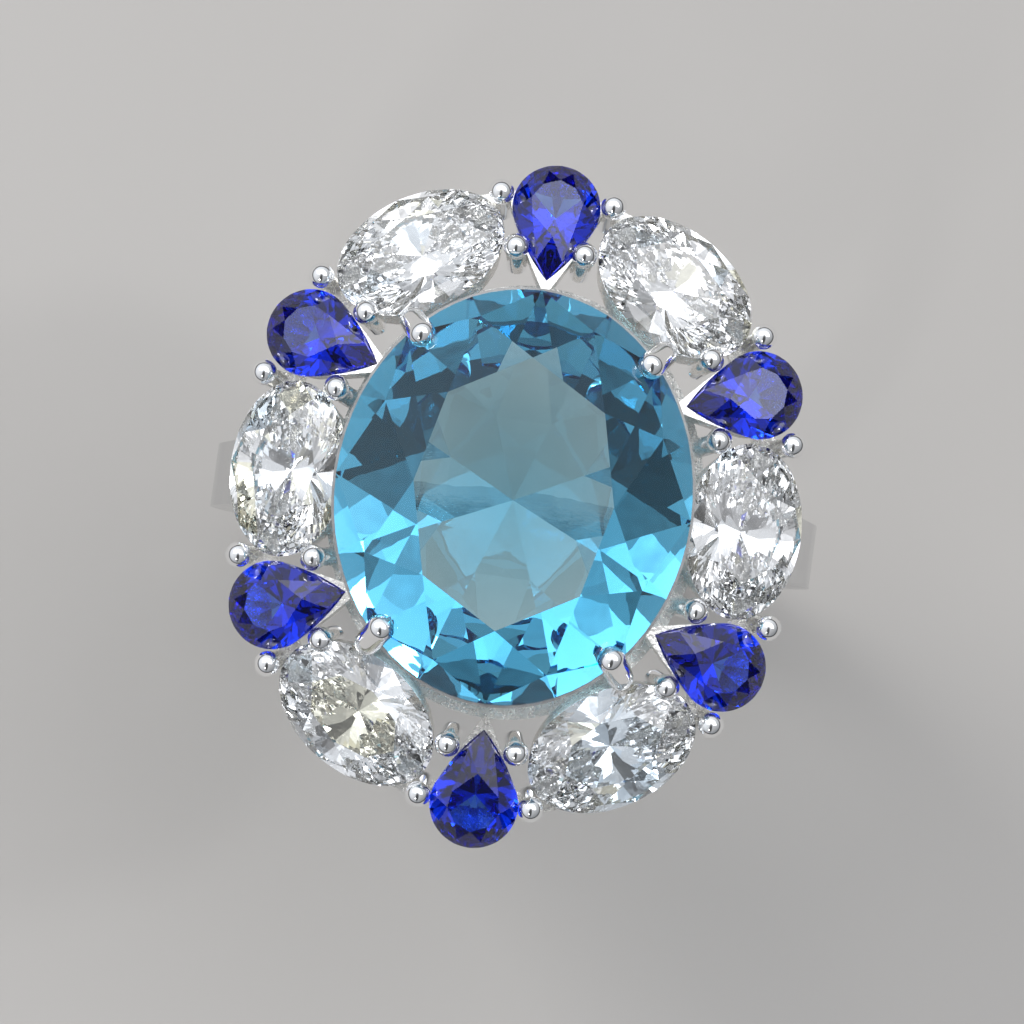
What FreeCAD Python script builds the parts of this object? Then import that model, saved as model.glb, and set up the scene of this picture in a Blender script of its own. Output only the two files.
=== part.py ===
import FreeCAD, Part
import os, math

V = FreeCAD.Vector
os.makedirs("parts", exist_ok=True)

# ---------------------------------------------------------------------------
# Cocktail ring, cluster type: an oval brilliant in four claws, inside a halo
# of six ovals and six pears in open collets held by beaded prongs.
# Millimetres.  Origin: centre of the finger bore.  +Y along the finger,
# +X across the finger, +Z up through the head.
# ---------------------------------------------------------------------------

# finger bore and band
BORE_R = 9.10            # US size 8
BAND_T = 1.90            # radial thickness of the band
BAND_R = BORE_R + BAND_T
BAND_W_TOP = 2.40        # width along the finger under the head
BAND_W_MID = 2.25        # width at the sides
BAND_W_LOW = 2.10        # width at the back of the finger
SHOULDER_DEG = 12.0      # where the cathedral shoulder leaves the band

# head levels
Z_HALO = 13.80           # girdle plane of the halo stones at their centres
Z_CENTRE = 15.70         # girdle plane of the centre stone
Z_RAIL = 12.10           # top of both halo rails, foot of all collets
RAIL_H = 0.80
DOME_DEG = 12.0          # halo stones lean outwards by this much
BASE_T = 1.30            # thickness of the saddle shaped base rail

# centre stone, 12 x 14 oval brilliant
CX, CY = -0.10, 0.0
CA, CB = 6.0, 7.0
C_GIRDLE = 0.36
C_CROWN = 1.85
C_PAV = 4.75

# halo stones
OVAL_A, OVAL_B = 2.0, 3.0            # 4 x 6 oval
OVAL_GIRDLE, OVAL_CROWN, OVAL_PAV = 0.16, 0.62, 1.80
PEAR_R, PEAR_L = 1.50, 4.10          # 3 x 4 pear
PEAR_GIRDLE, PEAR_CROWN, PEAR_PAV = 0.14, 0.50, 1.20
PEAR_K = 25.0                        # how far past the widest line the round end runs

COLLET_EDGE = -0.015     # collet's outline against the stone's: just under it
TIP_WALL = 0.54          # collet edge beyond a pear's point
SET_GAP = 0.012          # metal to stone

# balls on the prongs
BALL_R = 0.44
POST_R = 0.36
POST_L = 2.05
BALL_UP = 0.34           # ball centre above the girdle plane

# centre claws
CLAW_R = 0.45            # claw wire
CLAW_HEAD = 0.47         # rounded head worked over the girdle
CLAW_AZ = 52.0

# rails: outer and inner semi axes (x, y)
BASE_OUT, BASE_IN = (4.90, 6.30), (3.90, 5.30)
INNER_OUT, INNER_IN = (6.45, 7.45), (5.85, 6.85)
OUTER_OUT, OUTER_IN = (8.95, 10.75), (8.15, 9.95)
SEAT_OUT, SEAT_IN = (6.10, 7.10), (5.40, 6.40)

# halo stone places: (x, y, azimuth of the outward axis), first quadrant
OVAL_E = (7.80, 0.0, 0.0)
OVAL_D = (4.36, 7.90, 57.5)
PEAR_N = (0.0, 10.02, 90.0)
PEAR_S = (0.0, 10.40, 90.0)
PEAR_D = (7.70, 4.66, 17.5)
# prong balls, first quadrant, between two neighbouring stones
BALLS = [("north_outer", 1.93, 10.31), ("north_inner", 1.17, 8.50),
         ("diagonal_outer", 7.58, 6.65), ("diagonal_inner", 5.90, 5.60),
         ("side_outer", 9.06, 3.13), ("side_inner", 6.54, 2.90)]


# ---------------------------------------------------------------- small tools
class Frame(object):
    """Local axes of a halo stone: x outwards, y along the halo, z normal."""

    def __init__(self, x, y, z, az, tilt):
        a, t = math.radians(az), math.radians(tilt)
        er, et = (math.cos(a), math.sin(a)), (-math.sin(a), math.cos(a))
        self.o = (x, y, z)
        self.ex = (er[0] * math.cos(t), er[1] * math.cos(t), -math.sin(t))
        self.ey = (et[0], et[1], 0.0)
        self.ez = (er[0] * math.sin(t), er[1] * math.sin(t), math.cos(t))

    def pt(self, p):
        return V(*[self.o[i] + p[0] * self.ex[i] + p[1] * self.ey[i] + p[2] * self.ez[i]
                   for i in range(3)])

    def put(self, shape):
        m = FreeCAD.Matrix(self.ex[0], self.ey[0], self.ez[0], self.o[0],
                           self.ex[1], self.ey[1], self.ez[1], self.o[1],
                           self.ex[2], self.ey[2], self.ez[2], self.o[2],
                           0, 0, 0, 1)
        s = shape.copy()
        s.Placement = FreeCAD.Placement(m).multiply(s.Placement)
        return s


def sub(a, b):
    return tuple(a[i] - b[i] for i in range(3))


def cross(a, b):
    return (a[1] * b[2] - a[2] * b[1], a[2] * b[0] - a[0] * b[2], a[0] * b[1] - a[1] * b[0])


def dot(a, b):
    return sum(a[i] * b[i] for i in range(3))


def plane3(p, q, r):
    n = cross(sub(q, p), sub(r, p))
    l = math.sqrt(dot(n, n))
    n = tuple(c / l for c in n)
    return n, dot(n, p)


def z_on(pl, x, y):
    n, d = pl
    return (d - n[0] * x - n[1] * y) / n[2]


def meet(p1, p2, z):
    """Point at height z on the line where two planes meet."""
    (a1, b1, c1), d1 = p1
    (a2, b2, c2), d2 = p2
    e1, e2 = d1 - c1 * z, d2 - c2 * z
    det = a1 * b2 - a2 * b1
    return ((e1 * b2 - e2 * b1) / det, (a1 * e2 - a2 * e1) / det, z)


def one(shape):
    """The solid, or the compound of solids, with seams cleaned."""
    s = shape
    try:
        s = s.removeSplitter()
    except Exception:
        s = shape
    sol = [x for x in s.Solids if x.Volume > 1e-4]
    if len(sol) == 1:
        return sol[0]
    return Part.makeCompound(sol)


# ---------------------------------------------------------------- outlines
def oval_outline(a, b, n, m):
    """Points round an oval, 2*n*m of them, and the tangents at the n mains."""
    pts, tan = [], []
    tot = 2 * n * m
    for i in range(tot):
        t = 2 * math.pi * i / tot
        pts.append((a * math.cos(t), b * math.sin(t)))
    for k in range(n):
        t = 2 * math.pi * k / n
        tan.append((-a * math.sin(t), b * math.cos(t)))
    return pts, tan


def pear_side(r, length, ext=0.0):
    """Side arc of a pear, from the point to where it runs into the round end.
    Round end about the origin towards +x, point on -x.  Gives the arc's
    centre, radius and the two end angles for the +y side."""
    k = math.radians(PEAR_K)
    a1 = math.pi / 2 + k
    p1 = (r * math.cos(a1), r * math.sin(a1))
    tip = (-(length - r) - ext, 0.0)
    d0 = (-math.sin(a1), math.cos(a1))
    dx, dy = tip[0] - p1[0], tip[1] - p1[1]
    ch = math.hypot(dx, dy)
    de = math.atan2(dy, dx) - math.atan2(d0[1], d0[0])
    while de > math.pi:
        de -= 2 * math.pi
    while de < -math.pi:
        de += 2 * math.pi
    big = ch / (2 * math.sin(abs(de)))
    c = (p1[0] - big * d0[1], p1[1] + big * d0[0])
    a0 = math.atan2(p1[1] - c[1], p1[0] - c[0])
    return c, big, a0, a0 + 2 * de, tip, p1


def pear_outline(r, length, m):
    """16*m points round a pear from the point, and tangents at the 8 mains."""
    c, big, a0, a1, tip, p1 = pear_side(r, length)
    half = []
    for i in range(2 * m):                       # lower side, point to round end
        f = i / float(2 * m)
        a = a1 + (a0 - a1) * f
        half.append((c[0] + big * math.cos(a), -(c[1] + big * math.sin(a))))
    span = math.pi / 2 + math.radians(PEAR_K)
    for i in range(6 * m + 1):
        a = -span + span * i / float(6 * m)
        half.append((r * math.cos(a), r * math.sin(a)))
    pts = half + [(x, -y) for x, y in reversed(half[1:-1])]
    tan = []
    for k in range(8):
        i = 2 * m * k
        if k == 0:
            tan.append((0.0, -1.0))
        else:
            q, p = pts[(i + 1) % len(pts)], pts[i - 1]
            if k in (1, 7):
                a = -span if k == 1 else span
                tan.append((-math.sin(a), math.cos(a)))
            else:
                tan.append((q[0] - p[0], q[1] - p[1]))
    return pts, tan


# ---------------------------------------------------------------- cut stones
def brilliant(pts, tan, m, girdle, crown, pav, table, star, low, centre=(0.0, 0.0), k=1.0, ptan=None):
    """Closed faces of a brilliant: table, stars, kites, upper girdle facets,
    girdle, lower girdle facets and pavilion mains meeting in the culet.
    ptan: tangents at the pavilion's mains, where it has more than the crown."""
    n = len(tan)
    tot = len(pts)
    ptan = ptan or tan
    pn = len(ptan)
    pm = tot // (2 * pn)
    g2 = girdle / 2.0
    pts = [(x * k, y * k) for x, y in pts]
    cx, cy = centre[0] * k, centre[1] * k
    g2, hc, hp = g2 * k, (girdle / 2.0 + crown) * k, (girdle / 2.0 + pav) * k
    G = [pts[2 * m * i] for i in range(n)]
    H = [pts[(2 * m * i + m) % tot] for i in range(n)]
    tab = [(cx + table[i] * (G[i][0] - cx), cy + table[i] * (G[i][1] - cy), hc) for i in range(n)]
    up = []
    for i in range(n):
        g, t = G[i], tan[i]
        up.append(plane3((g[0], g[1], g2), (g[0] + t[0], g[1] + t[1], g2), tab[i]))
    S = [meet(up[i], up[(i + 1) % n], g2 + (hc - g2) * star) for i in range(n)]
    top, bot = [None] * tot, [None] * tot
    faces = [list(tab)]
    for i in range(n):
        j = (i + 1) % n
        a, h, b = G[i], H[i], G[j]
        faces.append([tab[i], tab[j], S[i]])
        faces.append([tab[i], S[i], (a[0], a[1], g2), S[i - 1]])
        for p, q, s0 in ((a, h, 0), (h, b, m)):
            pu = plane3((p[0], p[1], g2), (q[0], q[1], g2), S[i])
            fu = [S[i]]
            for s in range(m + 1):
                ix = (2 * m * i + s0 + s) % tot
                x, y = pts[ix]
                top[ix] = (x, y, g2 if s in (0, m) else z_on(pu, x, y))
                fu.append(top[ix])
            faces.append(fu)
    # pavilion
    G = [pts[2 * pm * i] for i in range(pn)]
    H = [pts[(2 * pm * i + pm) % tot] for i in range(pn)]
    dn = []
    for i in range(pn):
        g, t = G[i], ptan[i]
        dn.append(plane3((g[0], g[1], -g2), (g[0] + t[0], g[1] + t[1], -g2), (cx, cy, -hp)))
    L = [meet(dn[i], dn[(i + 1) % pn], -g2 - (hp - g2) * low) for i in range(pn)]
    for i in range(pn):
        j = (i + 1) % pn
        a, h, b = G[i], H[i], G[j]
        faces.append([(cx, cy, -hp), L[i], (a[0], a[1], -g2), L[i - 1]])
        for p, q, s0 in ((a, h, 0), (h, b, pm)):
            pd = plane3((p[0], p[1], -g2), (q[0], q[1], -g2), L[i])
            fd = [L[i]]
            for s in range(pm + 1):
                ix = (2 * pm * i + s0 + s) % tot
                x, y = pts[ix]
                bot[ix] = (x, y, -g2 if s in (0, pm) else z_on(pd, x, y))
                fd.append(bot[ix])
            faces.append(fd)
    for i in range(tot):
        j = (i + 1) % tot
        faces.append([top[i], top[j], bot[j], bot[i]])
    return faces


def gem_solid(faces, fr):
    out = []
    for f in faces:
        p = [fr.pt(q) for q in f]
        w = Part.makePolygon(p + [p[0]])
        out.append(Part.Face(w))
    sh = Part.Shell(out)
    s = Part.Solid(sh)
    if s.Volume < 0:
        s.reverse()
    return s


def centre_stone(k=1.0):
    pts, tan = oval_outline(CA, CB, 8, 4)
    tb = [0.56, 0.62, 0.655, 0.62, 0.56, 0.62, 0.655, 0.62]
    return gem_solid(brilliant(pts, tan, 4, C_GIRDLE, C_CROWN, C_PAV, tb, 0.50, 0.62, k=k),
                     Frame(CX, CY, Z_CENTRE, 0.0, 0.0))


def oval_stone(fr, k=1.0):
    pts, tan = oval_outline(OVAL_A, OVAL_B, 8, 4)
    ptan = oval_outline(OVAL_A, OVAL_B, 16, 2)[1]
    return gem_solid(brilliant(pts, tan, 4, OVAL_GIRDLE, OVAL_CROWN, OVAL_PAV,
                               [0.55, 0.57, 0.60, 0.57] * 2, 0.48, 0.70, k=k, ptan=ptan), fr)


def pear_stone(fr, k=1.0):
    pts, tan = pear_outline(PEAR_R, PEAR_L, 3)
    return gem_solid(brilliant(pts, tan, 3, PEAR_GIRDLE, PEAR_CROWN, PEAR_PAV,
                               [0.40, 0.58, 0.60, 0.60, 0.62, 0.60, 0.60, 0.58], 0.45, 0.62,
                               centre=(-0.25, 0.0), k=k), fr)


# ---------------------------------------------------------------- metal
def ell_wire(a, b, z):
    if a >= b:
        e = Part.Ellipse(V(0, 0, z), a, b)
        return Part.Wire([e.toShape()])
    e = Part.Ellipse(V(0, b, z), V(a, 0, z), V(0, 0, z))
    return Part.Wire([e.toShape()])


def loft(wires, ruled=True):
    return Part.makeLoft(wires, True, ruled)


def ring(outer, inner, z0, z1):
    o = Part.Face(ell_wire(outer[0], outer[1], z0)).extrude(V(0, 0, z1 - z0))
    i = Part.Face(ell_wire(inner[0], inner[1], z0)).extrude(V(0, 0, z1 - z0))
    return o.cut(i)


def pear_wire(off, ext, z, k=1.0, cx=-0.25):
    """Pear outline grown by off, its point carried on by ext, scaled by k
    about cx."""
    r = PEAR_R + off
    c, big, a0, a1, tip, p1 = pear_side(r, PEAR_L + off, ext)

    def q(x, y):
        return V(cx + (x - cx) * k, y * k, z)
    am = 0.5 * (a0 + a1)
    mid = (c[0] + big * math.cos(am), c[1] + big * math.sin(am))
    e1 = Part.Arc(q(p1[0], -p1[1]), q(r, 0), q(p1[0], p1[1])).toShape()
    e2 = Part.Arc(q(p1[0], p1[1]), q(mid[0], mid[1]), q(tip[0], 0)).toShape()
    e3 = Part.Arc(q(tip[0], 0), q(mid[0], -mid[1]), q(p1[0], -p1[1])).toShape()
    return Part.Wire([e1, e2, e3])


def oval_collet(fr):
    w = COLLET_EDGE
    a, b = OVAL_A, OVAL_B
    body = loft([ell_wire(a + w, b + w, -0.10), ell_wire(a - 0.30, b - 0.42, -2.9)])
    bore = loft([ell_wire(a + SET_GAP, b + SET_GAP, 0.5), ell_wire(a + SET_GAP, b + SET_GAP, -0.09)])
    seat = loft([ell_wire(a + SET_GAP, b + SET_GAP, -0.09), ell_wire(a - 0.62, b - 0.78, -0.66)])
    hole = loft([ell_wire(a - 0.62, b - 0.78, -0.66), ell_wire(a - 0.72, b - 0.90, -3.2)])
    return body, [bore, seat, hole]


def pear_collet(fr):
    w = COLLET_EDGE
    body = loft([pear_wire(w, TIP_WALL - w, 0.06), pear_wire(w, TIP_WALL - w, -2.9, 0.80)])
    bore = loft([pear_wire(SET_GAP, 0.02, 0.5), pear_wire(SET_GAP, 0.02, -0.08)])
    seat = loft([pear_wire(SET_GAP, 0.02, -0.08), pear_wire(SET_GAP, 0.02, -0.62, 0.66)])
    hole = loft([pear_wire(SET_GAP, 0.02, -0.62, 0.66), pear_wire(SET_GAP, 0.02, -3.2, 0.60)])
    return body, [bore, seat, hole]


def prong(x, y):
    """Short post with a ball on top, leaning out with the halo."""
    nx, ny = x / 7.8 ** 2, y / 9.6 ** 2
    l = math.hypot(nx, ny)
    nx, ny = nx / l, ny / l
    # distance outside the halo's centre line, and the girdle plane there
    s = math.sqrt((x / 7.8) ** 2 + (y / 9.6) ** 2)
    d = math.hypot(x, y) * (1 - 1 / s)
    z = Z_HALO - d * math.tan(math.radians(DOME_DEG)) + BALL_UP
    t = math.radians(DOME_DEG)
    u = V(nx * math.sin(t), ny * math.sin(t), math.cos(t))
    c = V(x, y, z)
    ball = Part.makeSphere(BALL_R, c, u)
    post = Part.makeCylinder(POST_R, POST_L, c - u * POST_L, u)
    foot = Part.makeSphere(POST_R, c - u * POST_L, u)
    return ball.fuse([post, foot])


def claw(sx, sy):
    """Round wire claw: up and out from the base rail, then over the girdle."""
    az = math.radians(CLAW_AZ)
    u = V(sx * math.cos(az), sy * math.sin(az), 0)

    def P(r, z):
        return u * r + V(0, 0, z)
    pts = [(4.95, 9.10), (6.90, 13.75), (6.97, 15.35), (6.30, 16.30)]
    rad = [3.0, 0.95]
    edges = []
    cur = P(*pts[0])
    for i, rr in enumerate(rad):
        a, b, c = P(*pts[i]), P(*pts[i + 1]), P(*pts[i + 2])
        d0 = (b - a).normalize()
        d1 = (c - b).normalize()
        ang = math.acos(max(-1, min(1, d0.dot(d1))))
        tl = rr * math.tan(ang / 2)
        s, e = b - d0 * tl, b + d1 * tl
        bis = (d1 - d0).normalize()
        cen = b + bis * (rr / math.cos(ang / 2))
        m = cen - bis * rr
        edges.append(Part.LineSegment(cur, s).toShape())
        edges.append(Part.Arc(s, m, e).toShape())
        cur = e
    end = P(*pts[3])
    edges.append(Part.LineSegment(cur, end).toShape())
    d0 = (P(*pts[1]) - P(*pts[0])).normalize()
    prof = Part.Wire([Part.Circle(P(*pts[0]), d0, CLAW_R).toShape()])
    rod = Part.Wire(edges).makePipeShell([prof], True, True)
    return rod.fuse(Part.makeSphere(CLAW_HEAD, end))


# ---------------------------------------------------------------- band
def shank():
    w = 3.0
    t = math.radians(SHOULDER_DEG)
    x1, z1 = BAND_R * math.cos(t), BAND_R * math.sin(t)
    zt = Z_RAIL - RAIL_H
    xt = x1 - math.tan(t) * (zt - z1)
    band = Part.makeCylinder(BAND_R, w, V(0, -w / 2, 0), V(0, 1, 0))
    parts = []
    for s in (1, -1):
        p = [(x1, z1), (xt, zt), (xt - 1.10, zt)]
        ia = math.radians(36.0)
        q = (BAND_R * math.cos(ia), BAND_R * math.sin(ia))
        r = (BAND_R * 0.93 * math.cos(math.radians(20)), BAND_R * 0.93 * math.sin(math.radians(20)))
        a0 = V(s * (xt - 1.10), -w / 2, zt)
        a1 = V(s * q[0], -w / 2, q[1])
        mid = (a0 + a1) * 0.5 + V(s * 0.28, 0, 0.0)
        e = [Part.LineSegment(V(s * x1, -w / 2, z1), V(s * xt, -w / 2, zt)).toShape(),
             Part.LineSegment(V(s * xt, -w / 2, zt), a0).toShape(),
             Part.Arc(a0, mid, a1).toShape(),
             Part.LineSegment(a1, V(s * r[0], -w / 2, r[1])).toShape(),
             Part.LineSegment(V(s * r[0], -w / 2, r[1]), V(s * x1, -w / 2, z1)).toShape()]
        parts.append(Part.Face(Part.Wire(e)).extrude(V(0, w, 0)))
    s = band.fuse(parts)
    s = s.cut(Part.makeCylinder(BORE_R, 2 * w, V(0, -w, 0), V(0, 1, 0)))
    # width: a little narrower towards the back of the finger
    a, b, c = BAND_W_TOP / 2, BAND_W_MID / 2, BAND_W_LOW / 2
    y = [(-a, 14), (a, 14), (b, 0), (c, -BAND_R), (c, -12), (-c, -12), (-c, -BAND_R), (-b, 0)]
    pr = Part.Face(Part.makePolygon([V(-15, p[0], p[1]) for p in y + [y[0]]])).extrude(V(30, 0, 0))
    s = s.common(pr)
    # the band stops at the base rail
    gap = Part.Face(ell_wire(BASE_OUT[0], BASE_OUT[1], 5.0)).extrude(V(0, 0, 10))
    return s.cut(gap)


def base_rail():
    o = ring(BASE_OUT, BASE_IN, 6.0, 12.0)
    big = Part.makeCylinder(BORE_R + BASE_T, 20, V(0, -10, 0), V(0, 1, 0))
    o = o.common(big)
    return o.cut(Part.makeCylinder(BORE_R, 20, V(0, -10, 0), V(0, 1, 0)))


# ---------------------------------------------------------------- assembly
NODES = {}


def flip(shape, sx, sy):
    """Mirror image of a first quarter shape in another quarter."""
    s = shape
    if sx < 0:
        s = s.mirror(V(0, 0, 0), V(1, 0, 0))
    if sy < 0:
        s = s.mirror(V(0, 0, 0), V(0, 1, 0))
    return s


def biggest(shape):
    return max(shape.Solids, key=lambda q: q.Volume)


def near(a, b):
    return a.BoundBox.intersect(b.BoundBox)


QUART = [(1, 1, "north_east"), (-1, 1, "north_west"), (1, -1, "south_east"), (-1, -1, "south_west")]
F_OE = Frame(OVAL_E[0], 0, Z_HALO, 0, DOME_DEG)
F_OD = Frame(OVAL_D[0], OVAL_D[1], Z_HALO, OVAL_D[2], DOME_DEG)
F_PD = Frame(PEAR_D[0], PEAR_D[1], Z_HALO, PEAR_D[2], DOME_DEG)
F_PN = Frame(0, PEAR_N[1], Z_HALO, 90, DOME_DEG)
F_PS = Frame(0, PEAR_S[1], Z_HALO, 90, DOME_DEG)

# stones, and copies grown by the setting gap that the metal is cut with
o_e, o_d = oval_stone(F_OE), oval_stone(F_OD)
p_d, p_n, p_s = pear_stone(F_PD), pear_stone(F_PN), pear_stone(F_PS)
g_oe, g_od = oval_stone(F_OE, 1.006), oval_stone(F_OD, 1.006)
g_pd, g_pn, g_ps = pear_stone(F_PD, 1.006), pear_stone(F_PN, 1.006), pear_stone(F_PS, 1.006)
NODES["stone_oval_east"], NODES["stone_oval_west"] = o_e, flip(o_e, -1, 1)
NODES["stone_pear_north"], NODES["stone_pear_south"] = p_n, flip(p_s, 1, -1)
for sx, sy, nm in QUART:
    NODES["stone_oval_" + nm] = flip(o_d, sx, sy)
    NODES["stone_pear_" + nm] = flip(p_d, sx, sy)
NODES["centre_stone"] = centre_stone()
grown_c = centre_stone(1.0025)

# base rail and claws
NODES["base_rail"] = base_rail()
rod = claw(1, 1).cut(NODES["base_rail"]).cut(Part.makeCylinder(BORE_R, 20, V(0, -10, 0), V(0, 1, 0)))
rod = biggest(rod.cut(g_od))
claws = []
for sx, sy, nm in QUART:
    c = biggest(flip(rod, sx, sy).cut(grown_c))
    NODES["claw_" + nm] = c
    claws.append(c)

# prongs
quarter = []
for bn, x, y in BALLS:
    p = prong(x, y)
    for g in (g_oe, g_od, g_pd, g_pn):
        if near(g, p):
            p = p.cut(g)
    p = biggest(p)
    quarter.append((bn, p))
prongs = []
for bn, p in quarter:
    for sx, sy, nm in QUART:
        q = p
        if sy < 0 and bn.startswith("north"):
            q = biggest(p.cut(g_ps)) if near(p, g_ps) else p
        q = flip(q, sx, sy)
        NODES["prong_" + bn.replace("north", "end") + "_" + nm] = q
        prongs.append(q)

# collets, cut level at their feet; a pear collet gives way to the oval ones
level = Part.makeBox(40, 40, 20, V(-20, -20, Z_RAIL - 20))
b_oe, c_oe = [F_OE.put(q) if not isinstance(q, list) else [F_OE.put(r) for r in q] for q in oval_collet(F_OE)]
b_od, c_od = [F_OD.put(q) if not isinstance(q, list) else [F_OD.put(r) for r in q] for q in oval_collet(F_OD)]


def collet(body, cuts, bodies, stones):
    s = body.cut(cuts).cut(level)
    for q in bodies + prongs + [rod] + stones:
        if near(q, body):
            s = s.cut(q)
    return biggest(s)


c = collet(b_oe, c_oe, [], [g_oe])
NODES["collet_oval_east"], NODES["collet_oval_west"] = c, flip(c, -1, 1)
c = collet(b_od, c_od, [], [g_od])
for sx, sy, nm in QUART:
    NODES["collet_oval_" + nm] = flip(c, sx, sy)
body, cuts = pear_collet(F_PD)
c = collet(F_PD.put(body), [F_PD.put(q) for q in cuts], [b_oe, b_od], [g_pd, g_oe, g_od])
for sx, sy, nm in QUART:
    NODES["collet_pear_" + nm] = flip(c, sx, sy)
body, cuts = pear_collet(F_PN)
b_ow = flip(b_od, -1, 1)
c = collet(F_PN.put(body), [F_PN.put(q) for q in cuts], [b_od, b_ow], [g_pn])
NODES["collet_pear_north"] = c
c = collet(F_PS.put(body), [F_PS.put(q) for q in cuts], [b_od, b_ow], [g_ps])
NODES["collet_pear_south"] = flip(c, 1, -1)

# rails
seat = ring(SEAT_OUT, SEAT_IN, Z_CENTRE - 0.75, Z_CENTRE - 0.20)
seat.translate(V(CX, CY, 0))
seat = seat.cut(grown_c).cut(claws)
NODES["centre_seat_rail"] = seat
inner = ring(INNER_OUT, INNER_IN, Z_RAIL - RAIL_H, Z_RAIL).cut(claws)
outer = ring(OUTER_OUT, OUTER_IN, Z_RAIL - RAIL_H, Z_RAIL)
for p in prongs:
    if p.BoundBox.intersect(inner.BoundBox):
        inner = inner.cut(p)
        outer = outer.cut(p)
NODES["halo_inner_rail"] = inner
NODES["halo_outer_rail"] = outer
NODES["shank"] = shank()

for name in sorted(NODES):
    s = one(NODES[name])
    bb = s.BoundBox
    print("%-34s solids %d valid %s vol %.3f  x %.2f..%.2f y %.2f..%.2f z %.2f..%.2f" % (
        name, len(s.Solids), s.isValid(), s.Volume, bb.XMin, bb.XMax, bb.YMin, bb.YMax, bb.ZMin, bb.ZMax))
    s.exportStep("parts/%s.step" % name)
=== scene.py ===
import math

import bpy
from mathutils import Matrix, Vector


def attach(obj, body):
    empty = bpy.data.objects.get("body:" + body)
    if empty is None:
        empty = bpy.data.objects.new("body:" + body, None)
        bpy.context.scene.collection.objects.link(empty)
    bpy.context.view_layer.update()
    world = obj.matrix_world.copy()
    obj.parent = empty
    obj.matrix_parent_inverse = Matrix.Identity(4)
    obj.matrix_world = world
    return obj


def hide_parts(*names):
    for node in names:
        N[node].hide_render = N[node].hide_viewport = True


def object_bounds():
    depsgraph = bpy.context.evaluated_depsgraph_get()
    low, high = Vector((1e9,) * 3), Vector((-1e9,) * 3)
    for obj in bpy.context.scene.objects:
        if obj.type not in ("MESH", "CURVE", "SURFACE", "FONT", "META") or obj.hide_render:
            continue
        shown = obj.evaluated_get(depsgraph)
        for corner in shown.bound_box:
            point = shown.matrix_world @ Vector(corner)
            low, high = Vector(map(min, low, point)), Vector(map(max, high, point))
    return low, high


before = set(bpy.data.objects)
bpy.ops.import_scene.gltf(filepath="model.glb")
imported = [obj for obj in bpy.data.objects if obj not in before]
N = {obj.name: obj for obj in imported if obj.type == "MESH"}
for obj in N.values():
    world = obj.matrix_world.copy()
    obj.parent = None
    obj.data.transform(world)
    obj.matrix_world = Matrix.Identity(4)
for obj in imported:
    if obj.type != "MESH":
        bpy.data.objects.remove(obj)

MM = 0.001
CAD_LO, CAD_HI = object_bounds()


# ---------------------------------------------------------------- materials
def new_mat(name):
    m = bpy.data.materials.new(name)
    m.use_nodes = True
    nt = m.node_tree
    nt.nodes.clear()
    return m, nt


def node(nt, kind, **kw):
    n = nt.nodes.new(kind)
    for k, v in kw.items():
        setattr(n, k, v)
    return n


def obj_coords(nt, scale=1000.0):
    """Object coordinates in millimetres."""
    tc = node(nt, "ShaderNodeTexCoord")
    mp = node(nt, "ShaderNodeMapping")
    mp.inputs["Scale"].default_value = (scale, scale, scale)
    nt.links.new(tc.outputs["Object"], mp.inputs["Vector"])
    return mp.outputs["Vector"]


def noise(nt, vec, scale, detail=3.0, rough=0.55):
    n = node(nt, "ShaderNodeTexNoise")
    n.inputs["Scale"].default_value = scale
    n.inputs["Detail"].default_value = detail
    n.inputs["Roughness"].default_value = rough
    nt.links.new(vec, n.inputs["Vector"])
    return n.outputs["Fac"]


def ramp(nt, fac, stops):
    r = node(nt, "ShaderNodeValToRGB")
    el = r.color_ramp.elements
    while len(el) < len(stops):
        el.new(0.5)
    for e, (p, c) in zip(el, stops):
        e.position = p
        e.color = (*c, 1.0) if len(c) == 3 else c
    nt.links.new(fac, r.inputs["Fac"])
    return r.outputs["Color"]


def remap(nt, fac, a, b, lo, hi):
    r = node(nt, "ShaderNodeMapRange")
    r.inputs["From Min"].default_value = a
    r.inputs["From Max"].default_value = b
    r.inputs["To Min"].default_value = lo
    r.inputs["To Max"].default_value = hi
    nt.links.new(fac, r.inputs["Value"])
    return r.outputs["Result"]


def bump(nt, height, strength, dist):
    b = node(nt, "ShaderNodeBump")
    b.inputs["Strength"].default_value = strength
    b.inputs["Distance"].default_value = dist
    nt.links.new(height, b.inputs["Height"])
    return b.outputs["Normal"]


def painted_facet_tone(nt):
    """Painted facet light: one value per facet, from the way the facet faces, that makes single facets lighter,
    darker or coloured.
    """
    g = node(nt, "ShaderNodeNewGeometry")
    sn = node(nt, "ShaderNodeVectorMath", operation="SNAP")
    sn.inputs[1].default_value = (0.031, 0.037, 0.041)
    nt.links.new(g.outputs["True Normal"], sn.inputs[0])
    wn = node(nt, "ShaderNodeTexWhiteNoise")
    nt.links.new(sn.outputs["Vector"], wn.inputs["Vector"])
    return wn.outputs["Value"]


def silver(name, lo, hi, rough, grain, grain_scale, dist):
    """Rhodium bright silver: faint colour drift, fine polishing marks."""
    m, nt = new_mat(name)
    v = obj_coords(nt)
    big = noise(nt, v, 0.6, 2.0)
    col = ramp(nt, big, [(0.30, lo), (0.70, hi)])
    fine = noise(nt, v, grain_scale, 5.0, 0.62)
    rg = remap(nt, fine, 0.25, 0.75, rough[0], rough[1])
    p = node(nt, "ShaderNodeBsdfPrincipled")
    p.inputs["Metallic"].default_value = 1.0
    nt.links.new(col, p.inputs["Base Color"])
    nt.links.new(rg, p.inputs["Roughness"])
    nt.links.new(bump(nt, fine, grain, dist), p.inputs["Normal"])
    o = node(nt, "ShaderNodeOutputMaterial")
    nt.links.new(p.outputs["BSDF"], o.inputs["Surface"])
    return m


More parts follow.
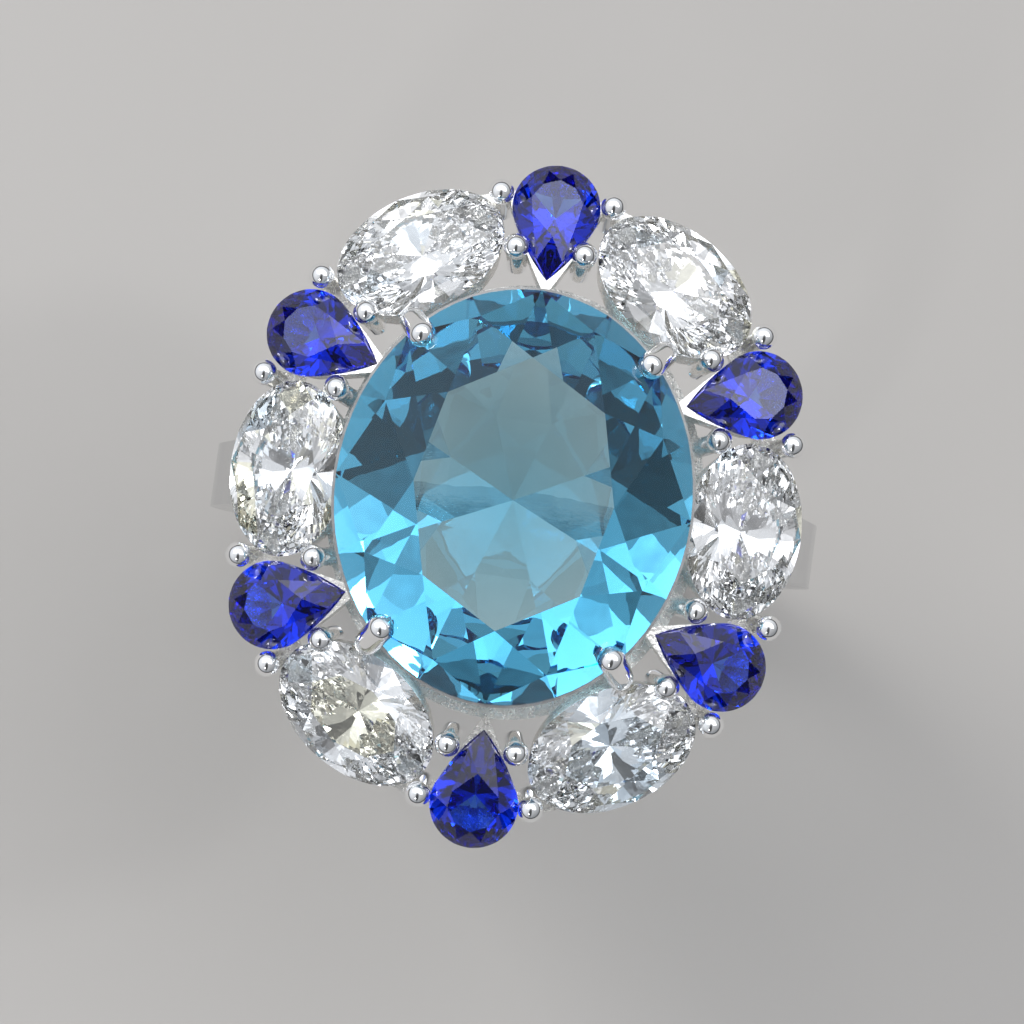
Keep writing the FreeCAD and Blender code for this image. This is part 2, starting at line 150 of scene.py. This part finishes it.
def stone(name, ior, zoning_and_facet_shade_tint, tint_b, absorb, density, rough=(0.0, 0.006), scale=0.5, wave=(0.9, 0.000004)):
    """Clear body colour from absorption along the path, a breath of colour zoning
    mixed with painted facet shade on single facets, and polish that is very slightly uneven."""
    m, nt = new_mat(name)
    v = obj_coords(nt)
    zone = noise(nt, v, scale, 2.0)
    mixed = node(nt, "ShaderNodeMath", operation="MULTIPLY_ADD")
    # painted facet shade: each facet's random tone pulls it towards the darker first tint, mixed with real
    # colour zoning
    nt.links.new(painted_facet_tone(nt), mixed.inputs[0])
    mixed.inputs[1].default_value = 0.7
    nt.links.new(remap(nt, zone, 0.3, 0.7, 0.0, 0.3), mixed.inputs[2])
    col = ramp(nt, mixed.outputs[0], [(0.1, zoning_and_facet_shade_tint), (0.8, tint_b)])
    fine = noise(nt, v, 1.6, 2.0)
    rg = remap(nt, fine, 0.45, 0.8, rough[0], rough[1])
    p = node(nt, "ShaderNodeBsdfPrincipled")
    p.inputs["Transmission Weight"].default_value = 1.0
    p.inputs["IOR"].default_value = ior
    nt.links.new(col, p.inputs["Base Color"])
    nt.links.new(rg, p.inputs["Roughness"])
    nt.links.new(bump(nt, noise(nt, v, wave[0], 1.0), 1.0, wave[1]), p.inputs["Normal"])
    o = node(nt, "ShaderNodeOutputMaterial")
    nt.links.new(p.outputs["BSDF"], o.inputs["Surface"])
    if density:
        a = node(nt, "ShaderNodeVolumeAbsorption")
        a.inputs["Color"].default_value = (*absorb, 1.0)
        a.inputs["Density"].default_value = density
        nt.links.new(a.outputs["Volume"], o.inputs["Volume"])
    return m


def clear_stone(name, ior):
    """Colourless stone with painted facet light: some single facets painted faintly blue and yellow as flashes
    of fire, others a little grey as facet shade.
    """
    m, nt = new_mat(name)
    v = obj_coords(nt)
    r = node(nt, "ShaderNodeValToRGB")
    r.color_ramp.interpolation = "CONSTANT"
    # painted facet light: grey stop for painted facet shade, blue and yellow stops for painted flashes of fire
    stops = [(0.0, (1.0, 1.0, 1.0)), (0.30, (0.93, 0.95, 0.96)), (0.55, (0.98, 0.99, 1.0)),
             (0.76, (0.84, 0.87, 0.90)), (0.88, (0.74, 0.88, 1.0)), (0.95, (1.0, 0.95, 0.66))]
    el = r.color_ramp.elements
    while len(el) < len(stops):
        el.new(0.5)
    for e, (p, c) in zip(el, stops):
        e.position = p
        e.color = (*c, 1.0)
    nt.links.new(painted_facet_tone(nt), r.inputs["Fac"])
    fine = noise(nt, v, 1.6, 2.0)
    rg = remap(nt, fine, 0.45, 0.8, 0.0, 0.008)
    p = node(nt, "ShaderNodeBsdfPrincipled")
    p.inputs["Transmission Weight"].default_value = 1.0
    p.inputs["IOR"].default_value = ior
    nt.links.new(r.outputs["Color"], p.inputs["Base Color"])
    nt.links.new(rg, p.inputs["Roughness"])
    nt.links.new(bump(nt, noise(nt, v, 1.5, 1.0), 1.0, 0.000002), p.inputs["Normal"])
    o = node(nt, "ShaderNodeOutputMaterial")
    nt.links.new(p.outputs["BSDF"], o.inputs["Surface"])
    return m


M_POLISH = silver("polished_silver", (0.90, 0.91, 0.92), (0.96, 0.96, 0.96), (0.02, 0.07), 0.08, 5.0, 0.00002)
M_CLAW = silver("claw_silver", (0.90, 0.91, 0.92), (0.96, 0.96, 0.96), (0.02, 0.07), 0.08, 4.0, 0.00002)
M_CAST = silver("satin_silver", (0.70, 0.69, 0.66), (0.88, 0.87, 0.84), (0.18, 0.36), 0.5, 6.0, 0.00006)
# shank: a darker copy of the polished silver; the lower colour is painted shade, standing in for dark
# surroundings reflected in the band
M_BAND_SHADED = silver("band_silver_painted_shade", (0.60, 0.61, 0.62), (0.67, 0.68, 0.69), (0.06, 0.13), 0.10, 5.0, 0.00003)
M_RAIL = silver("rail_silver", (0.72, 0.72, 0.71), (0.86, 0.86, 0.85), (0.14, 0.24), 0.12, 2.2, 0.00003)
# the first tint of each stone is its painted facet shade colour, mixed with colour zoning
M_AQUA = stone("aqua_stone", 1.55, (0.78, 0.80, 0.80), (1.0, 1.0, 1.0), (0.31, 0.78, 0.91), 225.0)
M_BLUE = stone("blue_stone", 1.76, (0.80, 0.84, 0.90), (1.0, 1.0, 1.0), (0.0, 0.40, 0.905), 1700.0, wave=(1.6, 0.000002))
M_CLEAR = clear_stone("clear_stone", 2.10)


def set_mat(o, m):
    o.data.materials.clear()
    o.data.materials.append(m)


def facets(o):
    """Every facet flat, as cut."""
    me = o.data
    if "custom_normal" in me.attributes:
        me.attributes.remove(me.attributes["custom_normal"])
    me.shade_flat()


for name, o in N.items():
    if name == "centre_stone":
        set_mat(o, M_AQUA)
        facets(o)
    elif name.startswith("stone_oval"):
        set_mat(o, M_CLEAR)
        facets(o)
    elif name.startswith("stone_pear"):
        set_mat(o, M_BLUE)
        facets(o)
    elif name.startswith(("base", "centre_seat")):
        set_mat(o, M_RAIL)
    elif name.startswith(("collet", "halo")):
        set_mat(o, M_CAST)
    elif name == "shank":
        set_mat(o, M_BAND_SHADED)
    else:
        set_mat(o, M_POLISH)

# ------------------------------------------------- beaded prongs and claws
BALL_R, POST_R, POST_L, BALL_UP, CLAW_R, CLAW_HEAD = 0.44, 0.36, 2.05, 0.34, 0.45, 0.47
HALO, DOME = 13.80, math.radians(12.0)
BALLS = [("end_outer", 1.93, 10.31), ("end_inner", 1.17, 8.50),
         ("diagonal_outer", 7.58, 6.65), ("diagonal_inner", 5.90, 5.60),
         ("side_outer", 9.06, 3.13), ("side_inner", 6.54, 2.90)]


def tube(name, rings, seg, bottom, top, wob, mat):
    """Skin over circles: each ring is (centre, axis u, axis v, radius) in mm."""
    verts, faces = [tuple(bottom * MM)], []
    for k, (c, u, v, r) in enumerate(rings):
        for i in range(seg):
            a = 2 * math.pi * i / seg
            q = r * (1 + wob * math.sin(3 * a + 1.7 * k / 5) * math.sin(0.9 * k / 5))
            verts.append(tuple((c + u * (q * math.cos(a)) + v * (q * math.sin(a))) * MM))
    n = len(rings)
    verts.append(tuple(top * MM))
    last = len(verts) - 1
    for i in range(seg):
        j = (i + 1) % seg
        faces.append((0, 1 + j, 1 + i))
        for k in range(n - 1):
            a, b = 1 + k * seg, 1 + (k + 1) * seg
            faces.append((a + i, a + j, b + j, b + i))
        faces.append((1 + (n - 1) * seg + i, 1 + (n - 1) * seg + j, last))
    me = bpy.data.meshes.new(name)
    me.from_pydata(verts, [], faces)
    me.update()
    me.shade_smooth()
    ob = bpy.data.objects.new(name, me)
    bpy.context.scene.collection.objects.link(ob)
    ob.data.materials.append(mat)
    return ob


def beaded_prong(name, x, y, sx, sy, seed):
    nx, ny = x / 7.8 ** 2, y / 9.6 ** 2
    ln = math.hypot(nx, ny)
    nx, ny = nx / ln, ny / ln
    s = math.sqrt((x / 7.8) ** 2 + (y / 9.6) ** 2)
    z = HALO - math.hypot(x, y) * (1 - 1 / s) * math.tan(DOME) + BALL_UP
    ax = Vector((sx * nx * math.sin(DOME), sy * ny * math.sin(DOME), math.cos(DOME)))
    u = Vector((sx * nx * math.cos(DOME), sy * ny * math.cos(DOME), -math.sin(DOME)))
    v = ax.cross(u)
    c = Vector((sx * x, sy * y, z))
    prof = []
    for i in range(1, 9):                       # rounded foot
        t = math.pi / 2 * i / 9
        prof.append((POST_R * math.sin(t), -POST_L - POST_R * math.cos(t)))
    prof += [(POST_R, -POST_L), (POST_R, -1.2), (POST_R, -0.62), (POST_R * 0.985, -0.45)]
    a0 = math.asin(0.80)
    for i in range(0, 33):                      # bead, seated on the post
        t = a0 + (math.pi - a0) * i / 33
        prof.append((BALL_R * math.sin(t), -BALL_R * math.cos(t)))
    rings = [(c + ax * h, u, v, r) for r, h in prof]
    return tube(name, rings, 40, c - ax * (POST_L + POST_R), c + ax * BALL_R, 0.012, M_POLISH)


def claw_path():
    """Centre line of a claw in its own plane: (r, z) and direction."""
    pts = [(4.95, 9.10), (6.90, 13.75), (6.97, 15.35), (6.30, 16.30)]
    rad = [3.0, 0.95]
    out = []
    cur = Vector(pts[0])
    for i, rr in enumerate(rad):
        a, b, c = Vector(pts[i]), Vector(pts[i + 1]), Vector(pts[i + 2])
        d0, d1 = (b - a).normalized(), (c - b).normalized()
        ang = d0.angle(d1)
        tl = rr * math.tan(ang / 2)
        s, e = b - d0 * tl, b + d1 * tl
        for k in range(6):
            out.append((cur.lerp(s, k / 6), d0))
        cen = b + (d1 - d0).normalized() * (rr / math.cos(ang / 2))
        a0 = math.atan2(s.y - cen.y, s.x - cen.x)
        a1 = math.atan2(e.y - cen.y, e.x - cen.x)
        for k in range(14):
            t = a0 + (a1 - a0) * k / 14
            out.append((cen + Vector((math.cos(t), math.sin(t))) * rr, d0.lerp(d1, k / 14).normalized()))
        cur = e
    end = Vector(pts[3])
    for k in range(5):
        out.append((cur.lerp(end, k / 4), d1))
    return out, end, d1


def round_claw(name, sx, sy):
    az = math.radians(52.0)
    rad = Vector((sx * math.cos(az), sy * math.sin(az), 0))
    side = Vector((0, 0, 1)).cross(rad)
    path, end, d1 = claw_path()

    def at(p):
        return rad * p.x + Vector((0, 0, p.y))

    rings = []
    for p, d in path:
        n = Vector((-d.y, d.x))
        t = min(1.0, max(0.0, (p.y - 14.7) / 1.3))
        rings.append((at(p), side, rad * n.x + Vector((0, 0, n.y)),
                      CLAW_R + (CLAW_HEAD - CLAW_R) * t * t * (3 - 2 * t)))
    n = Vector((-d1.y, d1.x))
    un = rad * n.x + Vector((0, 0, n.y))
    dd = at(d1)
    for k in range(1, 12):
        t = math.pi / 2 * k / 12
        rings.append((at(end) + dd * (0.9 * CLAW_HEAD * math.sin(t)), side, un, CLAW_HEAD * math.cos(t)))
    return tube(name, rings, 48, at(Vector((4.95, 9.10))), at(end) + dd * (0.9 * CLAW_HEAD), 0.010, M_CLAW)


for sx, ew in ((1, "east"), (-1, "west")):
    for sy, ns in ((1, "north"), (-1, "south")):
        for base, x, y in BALLS:
            nm = "prong_" + base + "_" + ns + "_" + ew
            ob = beaded_prong("v_" + nm, x, y, sx, sy, 0)
            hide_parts(nm)
            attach(ob, "root")
        nm = "claw_" + ns + "_" + ew
        ob = round_claw("v_" + nm, sx, sy)
        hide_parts(nm)
        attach(ob, "root")

for name in ("centre_stone",):
    md = N[name].modifiers.new("facet_edges", "BEVEL")
    md.width = 0.035 * MM
    md.segments = 1
    md.limit_method = "ANGLE"
    md.angle_limit = math.radians(4)
for name in ("shank", "halo_inner_rail", "halo_outer_rail", "base_rail", "centre_seat_rail"):
    md = N[name].modifiers.new("soft_edges", "BEVEL")
    md.width = 0.08 * MM if name == "shank" else 0.05 * MM
    md.segments = 3
    md.limit_method = "ANGLE"
    md.angle_limit = math.radians(38)

# ---------------------------------------------------------------- floor
floor_z = CAD_LO.z - 0.00002
bpy.ops.mesh.primitive_plane_add(size=6.0, location=(0, 0, floor_z))
floor = bpy.context.object
floor.name = "floor"
m, nt = new_mat("floor_card")
v = obj_coords(nt)
fn = noise(nt, v, 0.02, 2.0)
p = node(nt, "ShaderNodeBsdfPrincipled")
nt.links.new(ramp(nt, fn, [(0.3, (0.430, 0.414, 0.396)), (0.7, (0.448, 0.432, 0.414))]), p.inputs["Base Color"])
p.inputs["Roughness"].default_value = 0.85
o = node(nt, "ShaderNodeOutputMaterial")
nt.links.new(p.outputs["BSDF"], o.inputs["Surface"])
floor.data.materials.append(m)

# ---------------------------------------------------------------- light
world = bpy.data.worlds.new("studio")
bpy.context.scene.world = world
world.use_nodes = True
nt = world.node_tree
nt.nodes.clear()
tc = node(nt, "ShaderNodeTexCoord")
sep = node(nt, "ShaderNodeSeparateXYZ")
nt.links.new(tc.outputs["Generated"], sep.inputs[0])


def math_node(op, a, b=None, c=None):
    n = node(nt, "ShaderNodeMath", operation=op)
    for k, x in enumerate((a, b, c)):
        if x is None:
            continue
        if isinstance(x, (int, float)):
            n.inputs[k].default_value = x
        else:
            nt.links.new(x, n.inputs[k])
    return n.outputs[0]


X, Y, Z = sep.outputs["X"], sep.outputs["Y"], sep.outputs["Z"]
sky = ramp(nt, remap(nt, Z, 0.0, 1.0, 0.0, 1.0),
           [(0.0, (0.020, 0.021, 0.024)), (0.10, (0.05, 0.052, 0.058)), (0.22, (0.78, 0.81, 0.86)), (0.6, (1.0, 1.02, 1.06)), (1.0, (1.0, 1.02, 1.06))])
# brighter towards the window, upper left
side = math_node("ADD", math_node("MULTIPLY", X, -0.62), math_node("MULTIPLY", Y, 0.62))
lat = remap(nt, side, -0.8, 0.85, 0.42, 1.35)
# darker patch where the camera stands
cu = math_node("DIVIDE", X, 0.22)
cv = math_node("DIVIDE", math_node("ADD", Y, 0.42), 0.50)
rad = math_node("SQRT", math_node("ADD", math_node("MULTIPLY", cu, cu), math_node("MULTIPLY", cv, cv)))
patch = remap(nt, rad, 0.80, 1.20, 0.14, 1.0)
gain = math_node("MULTIPLY", math_node("MULTIPLY", lat, patch), 0.80)
# broad window above and behind the ring
out_r = math_node("SQRT", math_node("ADD", math_node("MULTIPLY", X, X), math_node("MULTIPLY", Y, Y)))
win = math_node("MULTIPLY", remap(nt, out_r, 0.22, 0.30, 0.0, 1.0), remap(nt, out_r, 0.66, 0.78, 1.0, 0.0))
win = math_node("MULTIPLY", win, remap(nt, Y, 0.0, 0.09, 0.0, 1.0))
win = math_node("MULTIPLY", win, remap(nt, Z, 0.0, 0.1, 0.0, 1.0))
win = math_node("MULTIPLY", win, remap(nt, X, -0.55, 0.55, 0.30, 1.45))
bg = node(nt, "ShaderNodeBackground")
nt.links.new(math_node("MULTIPLY_ADD", win, 1.5, gain), bg.inputs["Strength"])
nt.links.new(sky, bg.inputs["Color"])
out = node(nt, "ShaderNodeOutputWorld")
nt.links.new(bg.outputs[0], out.inputs["Surface"])


def card(name, centre, size, target, strength, color=(1, 1, 1)):
    """Soft area light aimed at a point."""
    ld = bpy.data.lights.new(name, "AREA")
    ld.shape = "RECTANGLE"
    ld.size, ld.size_y = size
    ld.energy = strength
    ld.color = color
    lo = bpy.data.objects.new(name, ld)
    bpy.context.scene.collection.objects.link(lo)
    lo.location = centre
    d = Vector(target) - Vector(centre)
    lo.rotation_mode = "QUATERNION"
    lo.rotation_quaternion = d.to_track_quat("-Z", "Y")
    return lo


card("key", (-0.30, 0.26, 0.42), (0.16, 0.16), (0, 0, 0.012), 1.1, (1.0, 0.99, 0.97))
card("spot_a", (0.34, 0.10, 0.50), (0.05, 0.05), (0, 0, 0.012), 0.28, (1.0, 1.0, 1.0))
card("spot_b", (-0.12, -0.40, 0.42), (0.05, 0.05), (0, 0, 0.012), 0.20, (1.0, 1.0, 1.0))

# ---------------------------------------------------------------- camera
HALO_Z = 13.8 * MM
DIST = 180.0 * MM
PX = 1.0 / 29.5 * MM                 # one pixel at the halo plane
ROLL = math.radians(7.9)
TILT = math.radians(2.5)
cam_d = bpy.data.cameras.new("camera")
cam = bpy.data.objects.new("camera", cam_d)
bpy.context.scene.collection.objects.link(cam)
bpy.context.scene.camera = cam
cam_d.sensor_width = 36.0
cam_d.lens = 36.0 * DIST / (1024 * PX)
cam_d.clip_start, cam_d.clip_end = 0.005, 20.0
w = Vector((0, -math.sin(TILT), math.cos(TILT)))
ex, ey = Vector((1, 0, 0)), Vector((0, math.cos(TILT), math.sin(TILT)))
r = ex * math.cos(ROLL) + ey * math.sin(ROLL)
u = ey * math.cos(ROLL) - ex * math.sin(ROLL)
pos = Vector((0, 0, HALO_Z)) + w * DIST + r * (-4 * PX) + u * (-12 * PX)
cam.rotation_mode = "QUATERNION"
cam.matrix_world = Matrix((
    (r.x, u.x, w.x, pos.x), (r.y, u.y, w.y, pos.y), (r.z, u.z, w.z, pos.z), (0, 0, 0, 1)))

sc = bpy.context.scene
sc.view_settings.view_transform = "Standard"
sc.view_settings.look = "None"
sc.view_settings.exposure = 0.0
sc.cycles.max_bounces = 32
sc.cycles.transmission_bounces = 32
sc.cycles.glossy_bounces = 16
sc.cycles.transparent_max_bounces = 32
